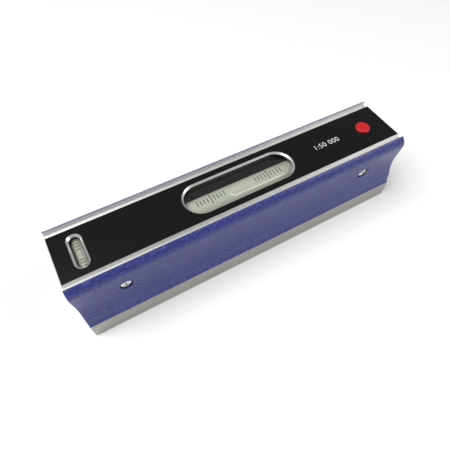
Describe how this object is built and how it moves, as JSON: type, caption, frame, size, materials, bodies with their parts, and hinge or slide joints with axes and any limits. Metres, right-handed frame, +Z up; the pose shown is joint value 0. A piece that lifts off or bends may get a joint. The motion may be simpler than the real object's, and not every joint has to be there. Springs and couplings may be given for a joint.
{
  "type": "precision machinist level",
  "caption": "Bar level with hollow enamelled sides, a ground V-groove base, a long main vial and a short cross vial under a black cover, and a screw that sets zero.",
  "frame": {"origin": "middle of the base plane, under the middle of the level", "axes": "+X along the level from the cross vial towards the zero adjuster, +Y across it, +Z up from the base"},
  "size_m": [0.2, 0.044, 0.0486],
  "materials": {
    "enamelled_iron": "hammered blue enamel on the flanks, ground bare iron on the base, groove, channel and ends",
    "black_anodised": "satin",
    "clear_pane": "polished",
    "plated_steel": "satin",
    "bare_aluminium": "satin",
    "hard_steel": "satin",
    "plaster": "matte",
    "vial_glass": "polished",
    "spirit": "polished",
    "black_brass": "satin",
    "yellow_brass": "satin",
    "red_plastic": "gloss"
  },
  "bodies": {
    "housing": {"level_body": "enamelled_iron", "top_cover": "black_anodised", "main_window": "clear_pane", "cross_window": "clear_pane", "side_screws": "plated_steel", "pivot_block": "bare_aluminium", "adjuster_block": "bare_aluminium", "pivot_pin": "hard_steel", "adjuster_spring": "hard_steel", "cross_vial_holder": "bare_aluminium", "cross_vial_bedding": "plaster", "cross_vial_screws": "plated_steel", "cross_vial_glass": "vial_glass", "cross_vial_ends": "vial_glass", "cross_vial_spirit": "spirit"},
    "main_vial": {"vial_tube": "black_brass", "vial_bedding": "plaster", "pivot_end": "bare_aluminium", "adjuster_end": "bare_aluminium", "adjuster_nut": "yellow_brass", "main_vial_glass": "vial_glass", "main_vial_ends": "vial_glass", "main_vial_spirit": "spirit"},
    "zero_adjuster": {"adjusting_screw": "hard_steel", "adjuster_clip": "hard_steel"},
    "cap": {"adjuster_cap": "red_plastic"}
  },
  "joints": [
    {"name": "zero_screw_turn", "type": "hinge", "parent": "housing", "child": "zero_adjuster", "pos_m": [0.084, 0, 0.031], "axis": [0, 0, 1], "range_deg": [-720, 720]},
    {"name": "vial_tilt", "type": "hinge", "parent": "housing", "child": "main_vial", "pos_m": [-0.066, 0, 0.039], "axis": [0, -1, 0], "range_deg": [-0.38, 0.38], "deforming": ["adjuster_spring"]},
    {"name": "cap_pull", "type": "slide", "parent": "housing", "child": "cap", "axis": [0, 0, 1], "range_m": [0, 0.012]}
  ],
  "couplings": [
    {"joint": "zero_screw_turn", "follows": "vial_tilt", "ratio": -1885}
  ]
}
